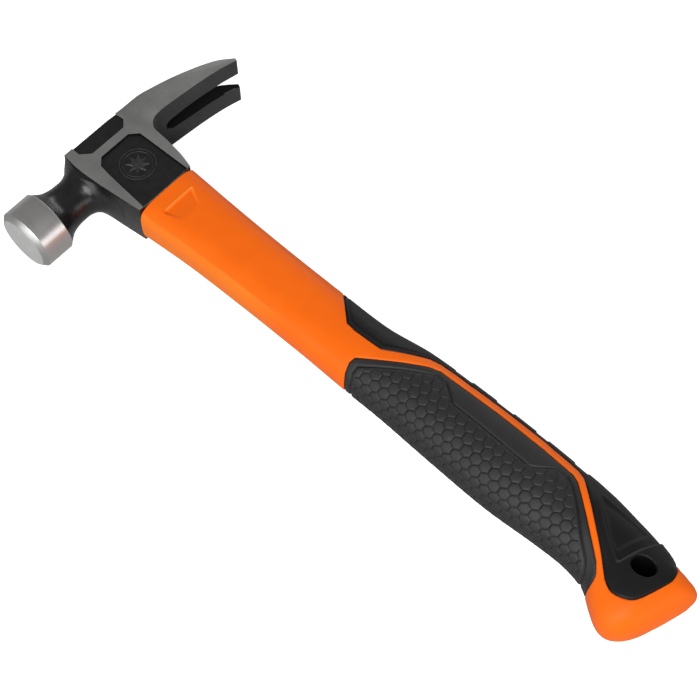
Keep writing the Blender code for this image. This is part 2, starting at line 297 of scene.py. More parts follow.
def points_of(obj):
    """The mesh's points in millimetres."""
    co = np.empty(len(obj.data.vertices) * 3, np.float32)
    obj.data.vertices.foreach_get("co", co)
    return co.reshape(-1, 3).astype(float) / MM - ORIGIN


def face_values(mesh, name):
    """One vector for each face: its "center" or its "normal"."""
    values = np.empty(len(mesh.polygons) * 3, np.float32)
    mesh.polygons.foreach_get(name, values)
    return values.reshape(-1, 3)


def split_at(bm, place, normal):
    """Cuts every face that crosses a plane in two along it."""
    parts = bm.verts[:] + bm.edges[:] + bm.faces[:]
    bmesh.ops.bisect_plane(bm, geom=parts, plane_co=place, plane_no=normal, dist=ON_PLANE)


def set_points(obj, points):
    obj.data.vertices.foreach_set("co", ((points + ORIGIN) * MM).astype(np.float32).ravel())
    obj.data.update()


def finish_piece(obj, materials, slot, *nodes, angle=32.0):
    """Gives a piece its materials, shading and body, and puts it in place of CAD nodes. The slot is
    not used.
    """
    for mat in materials:
        obj.data.materials.append(mat)
    obj.data.shade_smooth()
    obj.data.set_sharp_from_angle(angle=math.radians(angle))
    if nodes:
        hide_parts(*nodes)
    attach(obj, "root")


def curve_through(points, steps):
    """Catmull-Rom curve through points of any size, steps to each span."""
    def at(p, q, r, s, t):
        return tuple(
            0.5 * (
                2 * b + (c - a) * t
                + (2 * a - 5 * b + 4 * c - d) * t**2
                + (3 * b - a - 3 * c + d) * t**3
            )
            for a, b, c, d in zip(p, q, r, s)
        )

    full = [points[0], *points, points[-1]]
    out = []
    for i in range(1, len(full) - 2):
        out += [at(*full[i - 1 : i + 3], k / steps) for k in range(steps)]
    return out + [points[-1]]


# The lower end of the rear moulding is one soft curve.
REAR_GRIP = (*REAR_GRIP[:12], *curve_through(REAR_GRIP[12:21], 3), REAR_GRIP[21])


def oval(x, a, b, y, squareness, count=CIRCLE):
    """Ring at a height y: centre x, half length a, half width b and how square it is."""
    t = np.arange(count) * math.tau / count
    c, s = np.cos(t), np.sin(t)
    u = np.copysign(np.abs(c) ** (2 / squareness), c)
    w = np.copysign(np.abs(s) ** (2 / squareness), s)
    return np.column_stack((x + a * u, np.full(count, y), b * w))


# ---- fields over the handle's surface ----
def smooth(t):
    t = np.clip(t, 0.0, 1.0)
    return t * t * (3 - 2 * t)


def ramp(t, start, length):
    """0 before the start, 1 a length beyond it, and smooth between them."""
    return smooth((t - start) / length)


def line(t, middle, width):
    """A soft line: 1 at its middle, fading out over a width on both sides."""
    return np.exp(-(((t - middle) / width) ** 2))


def rounded(t, r):
    """How far a rounded edge of radius r has dropped at a distance t from the edge."""
    t = np.clip(t, 0.0, r)
    return r - np.sqrt(np.maximum(r * r - (r - t) ** 2, 0.0))


def outline_distance(x, y, outline):
    """Signed distance to a closed XY outline, negative inside it."""
    best = np.full(x.shape, BIG)
    inside = np.zeros(x.shape, bool)
    for (ax, ay), (bx, by) in zip(outline, (*outline[1:], outline[0])):
        ex, ey = bx - ax, by - ay
        t = np.clip(((x - ax) * ex + (y - ay) * ey) / (ex * ex + ey * ey), 0.0, 1.0)
        best = np.minimum(best, np.hypot(x - ax - t * ex, y - ay - t * ey))
        if ay != by:
            inside ^= ((ay > y) != (by > y)) & (x < ex * (y - ay) / (by - ay) + ax)
    return np.where(inside, -best, best)


def sections(ys):
    """Front edge, back edge, half thickness, squareness and slant at heights on the axis."""
    ys = np.asarray(ys, float)
    h = HANDLE[:, 0]
    k = np.arange(len(h))
    low, high = np.maximum(k - 1, 0), np.minimum(k + 1, len(h) - 1)
    slope = (HANDLE[high, 1:] - HANDLE[low, 1:]) / (h[high] - h[low])[:, None]
    i = np.clip(np.searchsorted(-h, -ys, side="right") - 1, 0, len(h) - 2)
    span = (h[i + 1] - h[i])[:, None]
    t = ((ys - h[i])[:, None]) / span
    return (
        (2 * t**3 - 3 * t**2 + 1) * HANDLE[i, 1:] + (t**3 - 2 * t**2 + t) * span * slope[i]
        + (3 * t**2 - 2 * t**3) * HANDLE[i + 1, 1:] + (t**3 - t**2) * span * slope[i + 1]
    )


HALF_TURN = np.linspace(0.0, math.pi, 1441)


def half_ring(section, shrink=0.0):
    """Half of a section from its front ridge over +Z to its back: x, z and arc length."""
    front, back, half, square, _ = section
    c, s = -np.cos(HALF_TURN), np.sin(HALF_TURN)
    x = (front + back) / 2 + ((back - front) / 2 - shrink) * np.sign(c) * np.abs(c) ** (2 / square)
    z = (half - shrink) * np.abs(s) ** (2 / square)
    return x, z, np.concatenate(([0.0], np.cumsum(np.hypot(np.diff(x), np.diff(z)))))


def handle_skin(name, heights, count, shrink=0.0):
    """The handle's outer shape as a closed body, its points evenly spaced round each section."""
    rings = np.empty((len(heights), count, 3))
    for k, (y, section) in enumerate(zip(heights, sections(heights))):
        x, z, run = half_ring(section, shrink)
        u = np.linspace(0.0, run[-1], count // 2 + 1)
        px, pz = np.interp(u, run, x), np.interp(u, run, z)
        px, pz = np.concatenate((px, px[-2:0:-1])), np.concatenate((pz, -pz[-2:0:-1]))
        rings[k] = np.column_stack((px, y + section[4] * (px - AXIS_X), pz))
    return loft(name, rings)


def heights_between(top, end, step):
    """Even heights, closing up where the butt rounds off."""
    turn = max(end, BUTT_TURN)
    even = np.linspace(top, turn, int((top - turn) / step) + 1)
    if end >= turn:
        return even
    closing = np.sin(np.linspace(0, math.pi / 2, 36)) ** 1.1
    return np.concatenate((even, (turn + (end - turn) * closing)[1:]))


class Surface:
    """Where points lie on the handle: height on its axis, arc from the front ridge, and depth."""

    ROWS, COLUMNS = 282, 360  # steps of the table of arc lengths, down the axis and round it
    TOP, END = HANDLE[0, 0], HANDLE[-1, 0]
    SHORT = 0.001  # keeps the last point inside the table's last step

    def __init__(self):
        turn = np.linspace(0.0, math.pi, self.COLUMNS + 1)
        rows = sections(np.linspace(self.TOP, self.END, self.ROWS + 1))
        self.arcs = np.array([np.interp(turn, HALF_TURN, half_ring(row)[2]) for row in rows])

    def locate(self, p):
        """Height on the axis, arc, depth (1 on the skin) and outward normal of each point."""
        x, y, z = p.T
        axis_y = y.copy()
        for _ in range(8):  # the slant depends on the height that it shifts
            at = sections(np.clip(axis_y, self.END, self.TOP))
            axis_y = y - at[:, 4] * (x - AXIS_X)
        front, back, half, square = at[:, :4].T
        u, w = (x - (front + back) / 2) / ((back - front) / 2), z / half
        depth = (np.abs(u) ** square + np.abs(w) ** square) ** (1 / square)
        t = np.arctan2(np.abs(w) ** (square / 2), -np.sign(u) * np.abs(u) ** (square / 2))
        down = (self.TOP - axis_y) / (self.TOP - self.END)
        i = np.clip(down * self.ROWS, 0, self.ROWS - self.SHORT)
        j = np.clip(t / math.pi * self.COLUMNS, 0, self.COLUMNS - self.SHORT)
        i0, j0 = i.astype(int), j.astype(int)
        fi, fj = i - i0, j - j0
        arc = (
            self.arcs[i0, j0] * (1 - fi) * (1 - fj) + self.arcs[i0 + 1, j0] * fi * (1 - fj)
            + self.arcs[i0, j0 + 1] * (1 - fi) * fj + self.arcs[i0 + 1, j0 + 1] * fi * fj
        )
        nx = np.sign(u) * np.abs(u) ** (square - 1) / ((back - front) / 2)
        nz = np.sign(w) * np.abs(w) ** (square - 1) / half
        n = np.column_stack((nx, np.zeros(len(nx)), nz))
        return axis_y, arc, depth, n / np.maximum(np.linalg.norm(n, axis=1), 1e-9)[:, None]


SURFACE = Surface()


def cell_edge(axis_y, arc):
    """Distance to the nearest edge between the honeycomb's cells, and from the nearest centre."""
    row_step = CELL_PITCH * math.sqrt(3) / 2
    turned_over = 2 * FRONT_ROW_STEP
    row = np.where(arc < turned_over, arc / FRONT_ROW_STEP, 2 + (arc - turned_over) / row_step)
    u, v = row * row_step, axis_y - CELL_PHASE
    best = np.full((3, len(u)), BIG)
    for k in (-1, 0, 1):
        r = np.round(row) + k
        shift = np.where(np.mod(r, 2) == 1, CELL_PITCH / 2, 0.0)
        for m in (-1, 0, 1):
            cv = (np.round((v - shift) / CELL_PITCH) + m) * CELL_PITCH + shift
            d = np.hypot(u - r * row_step, v - cv)
            best = np.sort(np.vstack((best, d)), axis=0)[:3]
    first, second = best[0], best[1]
    return (second**2 - first**2) / (2 * CELL_PITCH), first


HOLE_TURN = math.radians(90 - HOLE_TILT)
HOLE_COS, HOLE_SIN = math.cos(HOLE_TURN), math.sin(HOLE_TURN)


def hole_distance(x, y):
    """About how far outside the lanyard hole a point is."""
    dx, dy = x - HOLE[0], y - HOLE[1]
    u, w = -dx * HOLE_COS + dy * HOLE_SIN, -dx * HOLE_SIN - dy * HOLE_COS
    return (np.hypot(u / HOLE_R[1], w / HOLE_R[0]) - 1) * sum(HOLE_R) / 2


def hole_prism():
    """The tool that cuts the lanyard hole."""
    ring = []
    for k in range(CIRCLE):
        a = math.tau * k / CIRCLE
        u, w = HOLE_R[1] * math.cos(a), HOLE_R[0] * math.sin(a)
        ring.append((HOLE[0] - u * HOLE_COS - w * HOLE_SIN, HOLE[1] + u * HOLE_SIN - w * HOLE_COS))
    return prism("cut_hole", ring, -THROUGH, THROUGH)


def press(obj, field):
    """Moves a handle piece's outer skin along its normal by a field and keeps the relief.

    The relief colours the surface: 0 is plain, 1 a groove darkened as painted shade or the neck's
    front lightened as painted light, and below 0 or above 1 a lip with a painted highlight.
    """
    skin = 0.975  # deeper points belong to the piece's inner faces
    p = points_of(obj)
    axis_y, arc, depth, normal = SURFACE.locate(p)
    rise, relief = field(p[:, 0], p[:, 1], p[:, 2], axis_y, arc)
    on_skin = depth > skin
    p += normal * (rise * on_skin)[:, None]
    set_points(obj, p)
    layer = obj.data.attributes.new("relief", "FLOAT", "POINT")
    layer.data.foreach_set("value", np.where(on_skin, relief, 0.0).astype(np.float32))


def butt_corner(x, axis_y):
    """How far the back corner of the butt is eased in."""
    corner_x, corner_y = BUTT_CORNER
    return BUTT_CORNER_EASE * line(axis_y, corner_y, 3.4) * ramp(x, corner_x, 4.0)


def jacket_field(x, y, z, axis_y, arc):
    """Eased edges, the ridge along the neck and the sunk wedge, with painted light on the neck's
    front and a painted highlight round the wedge.
    """
    rise = -rounded(outline_distance(x, y, FRONT_GRIP) - GAP / 2, POCKET_RIM)
    rise -= rounded(outline_distance(x, y, REAR_GRIP) - GAP / 2, POCKET_RIM)
    rise -= rounded(HANDLE[0, 0] - y, JACKET_TOP_RIM) + butt_corner(x, axis_y)

    ridge_y, ridge_x, ridge_z = NECK_RIDGE
    past_x = x - np.interp(y, ridge_y, ridge_x)
    past = (past_x + np.abs(z) - np.interp(y, ridge_y, ridge_z)) * math.sqrt(0.5)
    away, fade = np.abs(past) / NECK_RIDGE_WIDTH, ramp(y, *NECK_RIDGE_FADE)
    rise -= NECK_RIDGE_SINK * away * np.exp(1 - away) * fade
    # Painted light: the neck's front, which faces the lamps, is marked to be coloured lighter.
    painted_light_front = smooth((0.25 - past) / 0.5) * fade

    # The wedge is deep at the head and runs out; three of its sides carry a painted highlight.
    notch = -outline_distance(x, y, NOTCH)
    (start_x, top), (_, end) = NOTCH[0], NOTCH[2]
    run_out = np.clip((y - end) / (top - end), 0.0, 1.0)
    rise -= NOTCH_DEPTH * ramp(notch, -0.2, 0.55) * run_out ** 0.8
    rise += NOTCH_LIP * line(notch, -0.45, 0.35) * run_out
    off_lower_side = smooth((x - start_x - NOTCH_SLANT * (top - y) - 0.6) / 1.4)
    painted_highlight = line(notch, -0.15, 0.5) * off_lower_side * run_out
    return rise, painted_light_front + 2.0 * painted_highlight


def front_field(x, y, z, axis_y, arc):
    """The front grip's eased edge, its raised panel and the honeycomb on it."""
    inside = -outline_distance(x, y, FRONT_GRIP) - GAP / 2
    panel = -outline_distance(x, y, PANEL)
    edge, centre = cell_edge(axis_y, arc)
    on_cells = ramp(panel, *CELL_MARGIN)
    groove = (1 - smooth(edge / CELL_GROOVE)) * on_cells
    dome = CELL_DOME * (1 - (centre / (CELL_PITCH / 2)) ** 2) * on_cells
    border = line(panel, 0.0, PANEL_GROOVE)
    rise = (
        -rounded(inside, GRIP_RIM) - PANEL_RISE * (1 - smooth(panel / 0.55))
        - BORDER_DEPTH * border - CELL_DEPTH * groove + dome
    )
    # The relief marks the cells' grooves and the panel's border, which the rubber darkens as
    # painted shade.
    return rise, np.maximum(groove, border)


def rear_field(x, y, z, axis_y, arc):
    """The rear grip's eased edge, groove, sunk panel, and the pads and dips down its back."""
    inside = -outline_distance(x, y, REAR_GRIP) - GAP / 2
    rise = -rounded(inside, GRIP_RIM) - rounded(hole_distance(x, y), HOLE_RIM)
    groove_in, groove_width, groove_depth = REAR_GROOVE
    groove = line(inside, groove_in, groove_width) * ramp(y, -182.0, 6.0)
    rise -= groove_depth * groove

    # At the back the panel sinks in gradually from its top, and its lip is full at its foot.
    panel = -outline_distance(x, y, REAR_PANEL)
    sunk = 1 - ramp(x, 23.5, 2.0) * (1 - ramp(-y, 264.0, 18.0))
    rise -= REAR_PANEL_DEPTH * ramp(panel, -0.15, 0.45) * sunk
    lip = line(panel, -0.42, LIP_WIDTH) * (0.3 + 0.7 * ramp(-y, 284.6, 1.2)) * sunk
    rise += REAR_LIP * lip
    field = -outline_distance(x, y, REAR_FIELD)
    rise -= REAR_FIELD_DEPTH * smooth(field / 0.9)

    # Pads stand up along the back between the dips.
    back = ramp(x, 28.6, 2.4) * ramp(y, -266.0, 8.0)
    dip = sum(smooth((top - y) / 0.8) * smooth((y - end) / 0.8) for top, end in DIPS)
    rise += back * (PAD_RISE * ramp(-y, 183.0, 3.0) - DIP_DEPTH * dip) - butt_corner(x, axis_y)
    # Painted highlight along the sunk panel's lip and round the field's edge.
    painted_highlight = np.maximum(lip, 0.3 * line(field, -0.3, LIP_WIDTH))
    # The fine groove's relief is darkened by the rubber as painted shade.
    return rise, groove - painted_highlight * (groove < 0.05)


# ---- head ----
def turned(name, profile, segments):
    """A profile of (x, radius) spun about the X axis, from point to point on the axis."""
    t = np.arange(segments) * math.tau / segments
    inner = profile[1:-1]
    points = [(profile[0][0], 0.0, 0.0)]
    for x, r in inner:
        points += [(x, r * math.cos(a), r * math.sin(a)) for a in t]
    points.append((profile[-1][0], 0.0, 0.0))
    k = np.arange(segments)
    j = (k + 1) % segments
    faces = [(0, 1 + b, 1 + a) for a, b in zip(k, j)]
    for row in range(len(inner) - 1):
        o = 1 + row * segments
        faces += np.column_stack((o + k, o + j, o + segments + j, o + segments + k)).tolist()
    last, o = len(points) - 1, 1 + (len(inner) - 1) * segments
    faces += [(last, o + a, o + b) for a, b in zip(k, j)]
    return mesh_object(name, points, faces)


def head_outline():
    """The head seen from its side, without the poll: round the front, claws and foot."""
    front = curve_through([
        (-2.6, HEAD_FOOT), (-3.5, -24.0), (-4.6, -13.0), (-5.3, -4.0), (-5.5, 2.5), (-5.2, 8.0),
        (-4.6, HEAD_TOP),
    ], 4)
    top = curve_through([
        (22.0, HEAD_TOP), (31.0, 12.3), (43.0, 9.8), (59.0, 5.4), (75.0, -1.2), CLAW_TIP,
    ], 12)
    under = curve_through([(82.9, -9.0), (74.0, -6.8), (64.0, -5.2), (53.0, -4.0), (42.0, -3.0)], 8)
    root = []
    for k in range(17):
        a = math.pi / 2 * k / 16
        root.append((
            ROOT_START[0] - ROOT_R * math.sin(a), ROOT_START[1] - ROOT_R + ROOT_R * math.cos(a)
        ))
    back = curve_through([(31.5, -15.0), (30.9, -20.0), (30.1, -26.0), (28.5, HEAD_FOOT)], 6)
    return [*front, *top, *under, *root, *back]


def land_height(x):
    """Half the head's width at X, from the cheek to the claws."""
    t = min(max((x - SHOULDER_X[0]) / (SHOULDER_X[1] - SHOULDER_X[0]), 0.0), 1.0)
    return CHEEK_HALF + (CLAW_HALF - CHEEK_HALF) * t * t * (3 - 2 * t)


def eye_block(name):
    """The side outline given its width, with the rims of both sides rounded."""
    bm = bmesh.new()
    bm.faces.new([bm.verts.new((x * MM, y * MM, 0)) for x, y in head_outline()])
    for x in np.linspace(*SHOULDER_X, 25):
        split_at(bm, (x * MM, 0, 0), (1, 0, 0))
    made = bmesh.ops.extrude_face_region(bm, geom=bm.faces[:])
    raised = {v for v in made["geom"] if isinstance(v, bmesh.types.BMVert)}
    for v in bm.verts:
        v.co.z = (1 if v in raised else -1) * land_height(v.co.x / MM) * MM
    bmesh.ops.recalc_face_normals(bm, faces=bm.faces)
    bm.normal_update()
    rims = [
        e for e in bm.edges
        if len(e.link_faces) == 2 and {abs(round(f.normal.z)) for f in e.link_faces} == {0, 1}
    ]
    bmesh.ops.bevel(
        bm, geom=rims, offset=LAND_EDGE * MM, segments=3, profile=0.5, affect="EDGES",
        clamp_overlap=True,
    )
    bmesh.ops.remove_doubles(bm, verts=bm.verts, dist=NEAR)
    bmesh.ops.recalc_face_normals(bm, faces=bm.faces)
    mesh = bpy.data.meshes.new(name)
    bm.to_mesh(mesh)
    bm.free()
    mesh.transform(Matrix.Translation(Vector(ORIGIN * MM)))
    return new_object(name, mesh)


def recess_cutter(name, outline, side):
    """A sunk field's cutter, whose walls lean outwards."""
    floor, rim, clear = CHEEK_HALF - RECESS_DEPTH, CHEEK_HALF, 4.0
    rings = [
        (floor, -RECESS_SLOPE), (rim, 0.0), (rim + clear, RECESS_SLOPE * clear / RECESS_DEPTH)
    ]
    return loft(name, [[(x, y, side * z) for x, y in grown(outline, by)] for z, by in rings])


def emblem_band(side, outer, inner, rise):
    """A raised ring of the emblem, its top edges broken."""
    floor = CHEEK_HALF - RECESS_DEPTH
    t = np.arange(CIRCLE) * math.tau / CIRCLE
    circle = np.column_stack((np.cos(t), np.sin(t)))
    edge = 0.15
    section = (
        (inner, floor - EMBLEM_ROOT), (inner, floor + rise * 0.2), (inner + edge, floor + rise),
        (outer - edge, floor + rise), (outer, floor + rise * 0.2), (outer, floor - EMBLEM_ROOT),
    )
    rings = [
        np.column_stack((EMBLEM[0] + r * circle[:, 0], EMBLEM[1] + r * circle[:, 1],
                         np.full(CIRCLE, side * z)))
        for r, z in section
    ]
    k = np.arange(CIRCLE)
    j = (k + 1) % CIRCLE
    faces = []
    for row in range(len(section)):
        a, b = row * CIRCLE, (row + 1) % len(section) * CIRCLE
        faces += np.column_stack((a + k, a + j, b + j, b + k)).tolist()
    return mesh_object("emblem_band", np.vstack(rings), faces)


def emblem_star(side):
    """The emblem's star, its sides leaning in to a smaller top."""
    floor = CHEEK_HALF - RECESS_DEPTH
    foot = []
    for k in range(2 * STAR_POINTS):
        a = math.tau * k / (2 * STAR_POINTS)
        r = STAR_R[k % 2]
        foot.append((EMBLEM[0] + r * math.cos(a), EMBLEM[1] + r * math.sin(a)))
    top = [
        (EMBLEM[0] + (x - EMBLEM[0]) * STAR_TOP, EMBLEM[1] + (y - EMBLEM[1]) * STAR_TOP)
        for x, y in foot
    ]
    levels = ((foot, floor - EMBLEM_ROOT), (foot, floor + 0.06), (top, floor + EMBLEM_RISE))
    return loft("emblem_star", [[(x, y, side * z) for x, y in ring] for ring, z in levels])


def emblem(side):
    """A plain double ring round an eight-pointed star."""
    return [
        emblem_band(side, EMBLEM_R, EMBLEM_R - 0.7, EMBLEM_RISE),
        emblem_band(side, EMBLEM_R - 1.5, EMBLEM_R - 1.9, EMBLEM_RISE * 0.7),
        emblem_star(side),
    ]


def build_poll():
    """The poll and its throat, cut square where they run into the block."""
    face = [
        (FACE_X - CROWN, 0.0), (FACE_X - CROWN, 6.0), (FACE_X - 0.42, 8.5), (FACE_X - 0.27, 10.5),
        (FACE_X, FACE_FLAT_R), (FACE_X + 0.12, FACE_FLAT_R + 0.18),
        (CHAMFER_X - 0.12, POLL_R - 0.14), (CHAMFER_X + 0.12, POLL_R),
    ]
    neck = curve_through([
        (POLL_BACK_X + 0.3, POLL_R - 0.25), (-27.4, 13.5), (-24.0, 11.3), (-20.0, 10.2),
        (-16.0, THROAT_R), (-12.5, 10.1), (-9.2, 11.3), (-6.9, 13.4), (-5.5, 15.6), (-4.75, 18.0),
        (-4.2, 20.5), (-3.4, 23.0), (-2.2, 25.4),
    ], 8)
    poll = turned("poll", [*face, (POLL_BACK_X, POLL_R), *neck, (2.0, 26.5), (2.0, 0.0)], 160)
    p = points_of(poll)
    p[:, 2] *= 1 - 0.10 * np.clip((p[:, 0] + 15.0) / 9.0, 0.0, 1.0)  # narrower towards the block
    set_points(poll, p)
    low, high, side = -28.0, HEAD_TOP - LAND_EDGE, CHEEK_HALF - LAND_EDGE
    clear = 40
    keep = loft("keep_poll", [
        [(x, bottom, -half), (x, top, -half), (x, top, half), (x, bottom, half)]
        for x, bottom, top, half in (
            (-60.0, -clear, clear, clear), (-12.0, -clear, clear, clear),
            (-11.9, low, high, side), (1.0, low, high, side),
        )
    ])
    return combine(poll, [("INTERSECT", keep)])


def eye_cutter():
    """The tapered eye, run on past both ends of the block."""
    cx, a, b = EYE_FOOT
    tx, ta, tb = EYE_TOP
    slope = [(t - f) / (HEAD_TOP - HEAD_FOOT) for t, f in zip(EYE_TOP, EYE_FOOT)]
    past = 3.0
    return loft("cut_eye", [
        oval(cx - slope[0] * past, a - slope[1] * past, b - slope[2] * past, HEAD_FOOT - past,
             EYE_SQUARENESS),
        oval(tx + slope[0] * past, ta + slope[1] * past, tb + slope[2] * past, HEAD_TOP + past,
             EYE_SQUARENESS),
    ])


def slot_cutter():
    """The nail slot, V-shaped both along and across the claws."""
    rings = []
    for x, wide, narrow in curve_through(SLOT_ROWS, 6):
        drop = 0.1 * (x - SLOT_START)
        rim = float(np.interp(x, CLAW_UNDER_X, CLAW_UNDER_Y))
        side = [
            (-14.0 - drop, wide + SLOT_BREAK), (rim - 0.1, wide + SLOT_BREAK), (rim + 0.4, wide),
            (16.0 - 2 * drop, narrow),
        ]
        rings.append([(x, y, -z) for y, z in side] + [(x, y, z) for y, z in reversed(side)])
    return loft("cut_nail_slot", rings)


def build_head():
    poll, eye, slot = build_poll(), eye_cutter(), slot_cutter()
    recesses = (CORNER_RECESS, CHEEK_RECESS)
    cuts = [recess_cutter("cut_recess", outline, side) for outline in recesses for side in (-1, 1)]
    emblems = [piece for side in (-1, 1) for piece in emblem(side)]
    return combine(eye_block("head_forging"), [
        ("UNION", poll), ("DIFFERENCE", eye), ("DIFFERENCE", slot),
        *(("DIFFERENCE", cut) for cut in cuts), *(("UNION", piece) for piece in emblems),
    ])


LAND, POLISHED, FACE, PAINT, CLAW, EDGE, SLOT, RAISED, CHAMFER, RIM = range(10)


def split_rim(mesh):
    """Gives the worn band round the head's foot faces of its own."""
    bm = bmesh.new()
    bm.from_mesh(mesh)
    split_at(bm, Vector((0, (HEAD_FOOT + FOOT_RIM + ORIGIN[1]) * MM, 0)), (0, 1, 0))
    bmesh.ops.remove_doubles(bm, verts=bm.verts, dist=NEAR)
    bm.to_mesh(mesh)
    bm.free()


def paint_head(head):
    """Gives each face of the head its finish by where it lies."""
    mesh = head.data
    split_rim(mesh)
    x, y, z = (face_values(mesh, "center") / MM - ORIGIN).T
    nz = np.abs(face_values(mesh, "normal")[:, 2])
    radius, z = np.hypot(y, z), np.abs(z)
    zone = np.full(len(x), PAINT)
    land_z = np.array([land_height(v) for v in x])
    on_block, side_on = x > FRONT_OF_BLOCK, nz > 0.93
    zone[on_block & side_on & (z > land_z - 0.2)] = LAND
    zone[on_block & ~side_on & (nz > 0.15) & (z > land_z - LAND_EDGE * 1.1)] = EDGE
    claw = (x > 31.0) & (zone == PAINT)
    zone[claw] = CLAW
    # The slot's walls take a darker, duller black than the paint: black paint, deepened as painted
    # shade.
    zone[claw & (nz > 0.7) & (z < 6.0)] = SLOT
    zone[(x < POLL_BACK_X + 0.4) & (radius < POLL_R + 0.1)] = POLISHED
    zone[x < CHAMFER_X - 0.05] = CHAMFER
    zone[x < FACE_X + 0.02] = FACE
    zone[(y < HEAD_FOOT + FOOT_RIM) & (nz > 0.6) & (zone == PAINT)] = RIM
    # Painted highlight: the emblem's raised faces take a lighter, rougher finish than the paint
    # round them.
    on_emblem = np.hypot(x - EMBLEM[0], y - EMBLEM[1]) < EMBLEM_R + 0.1
    zone[on_emblem & (z > CHEEK_HALF - RECESS_DEPTH + 0.08) & (z < CHEEK_HALF)] = RAISED
    mesh.polygons.foreach_set("material_index", zone.astype(np.int32))


# ---- materials ----
class Nodes:
    """A material and short calls that add nodes to it."""

    def __init__(self, name):
        self.mat = bpy.data.materials.new(name)
        self.mat.use_nodes = True
        self.tree = self.mat.node_tree
        self.shader = self.tree.nodes["Principled BSDF"]

    def add(self, kind, inputs=None, **settings):
        node = self.tree.nodes.new(kind)
        for key, value in settings.items():
            setattr(node, key, value)
        for key, value in (inputs or {}).items():
            if isinstance(value, bpy.types.NodeSocket):
                self.tree.links.new(value, node.inputs[key])
            else:
                node.inputs[key].default_value = value
        return node

    def noise(self, scale, detail=4.0, stretch=(1, 1, 1), roughness=0.55):
        coords = self.add("ShaderNodeTexCoord").outputs["Object"]
        place = self.add("ShaderNodeMapping", {"Vector": coords, "Scale": stretch})
        inputs = {"Scale": scale, "Detail": detail, "Roughness": roughness}
        return self.add(
            "ShaderNodeTexNoise", {"Vector": place.outputs["Vector"], **inputs}
        ).outputs["Fac"]

    def span(self, fac, low, high, from_low=0.3, from_high=0.7):
        """A value mapped from the middle of a noise, or from another span, to low and high."""
        inputs = {"From Min": from_low, "From Max": from_high, "To Min": low, "To Max": high}
        return self.add("ShaderNodeMapRange", {"Value": fac, **inputs}).outputs["Result"]

    def mix(self, fac, a, b):
        """A blend of two colours."""
        node = self.add("ShaderNodeMix", data_type="RGBA")
        for socket, value in ((node.inputs[0], fac), (node.inputs[6], a), (node.inputs[7], b)):
            if isinstance(value, bpy.types.NodeSocket):
                self.tree.links.new(value, socket)
            else:
                socket.default_value = value if isinstance(value, float) else (*value, 1.0)
        return node.outputs[2]

    def bump(self, height, distance, strength=1.0, after=None):
        inputs = {"Height": height, "Distance": distance, "Strength": strength}
        if after is not None:
            inputs["Normal"] = after
        return self.add("ShaderNodeBump", inputs).outputs["Normal"]

    def relief(self):
        return self.add("ShaderNodeAttribute", attribute_name="relief").outputs["Fac"]

    def out(self, **sockets):
        """Sets or links the shader's sockets and hands back the material."""
        for key, value in sockets.items():
            socket = self.shader.inputs[key.replace("_", " ")]
            if isinstance(value, bpy.types.NodeSocket):
                self.tree.links.new(value, socket)
            else:
                socket.default_value = (*value, 1.0) if isinstance(value, tuple) else value
        return self.mat


def orange_plastic():
    """Hard orange plastic, a little lighter and yellower on the neck's front as painted light, and
    paler on the wedge's edges as a painted highlight.
    """
    n = Nodes("moulded_orange")
    cloud = n.noise(60.0, 3.0)
    colour = n.mix(n.span(cloud, 0.0, 1.0), (0.86, 0.132, 0.004), (0.90, 0.144, 0.006))
    # Painted light: lighter, yellower orange on the neck's front.
    colour = n.mix(n.relief(), colour, (0.86, 0.182, 0.012))
    # Painted highlight: pale orange along the wedge's edges, where the relief is above 1.
    colour = n.mix(n.span(n.relief(), 0.0, 1.0, 1.0, 2.0), colour, (0.93, 0.28, 0.05))
    grain = n.noise(2600.0, 2.0)
    return n.out(
        Base_Color=colour, Roughness=n.span(n.noise(300.0, 3.0), 0.38, 0.46),
        Normal=n.bump(grain, 0.00003, 0.5), Specular_IOR_Level=0.13,
    )


def rubber(name, low, high, rough, shine, texture):
    """Soft black rubber: darker in its grooves as painted shade, and pale where the relief is below
    0 as a painted highlight.
    """
    n = Nodes(name)
    cloud = n.noise(90.0, 4.0)
    colour = n.mix(n.span(cloud, 0.0, 1.0), low, high)
    groove = n.span(n.relief(), 0.0, 1.0, 0.0, 1.0)
    # Painted shade: the rubber darkens to a third of its colour in the grooves.
    colour = n.mix(groove, colour, tuple(0.3 * c for c in low))
    # Painted highlight: pale rubber where the relief is below 0.
    colour = n.mix(n.span(n.relief(), 0.0, 1.0, 0.0, -1.0), colour, tuple(12.0 * c for c in low))
    grain = n.noise(3200.0, 3.0, roughness=0.7)
    leather = n.noise(1100.0, 2.0)
    roughness = n.span(groove, rough, rough + 0.1, 0.0, 1.0)
    return n.out(
        Base_Color=colour, Roughness=roughness,
        Normal=n.bump(grain, 0.00006, 0.6, n.bump(leather, 0.0001, texture)),
        Specular_IOR_Level=shine,
    )


def ground_steel(name, low, high, rough, metallic=1.0):
    """Bare steel with a fine even grain."""
    n = Nodes(name)
    cloud = n.noise(70.0, 5.0)
    grain = n.noise(2400.0, 3.0, roughness=0.7)
    colour = n.mix(n.span(cloud, 0.0, 1.0), low, high)
    colour = n.mix(n.span(grain, 0.0, 0.6), colour, tuple(0.6 * c for c in low))
    return n.out(
        Base_Color=colour, Metallic=metallic, Roughness=n.span(grain, rough - 0.05, rough + 0.08),
        Normal=n.bump(grain, 0.00004, 0.55),
    )


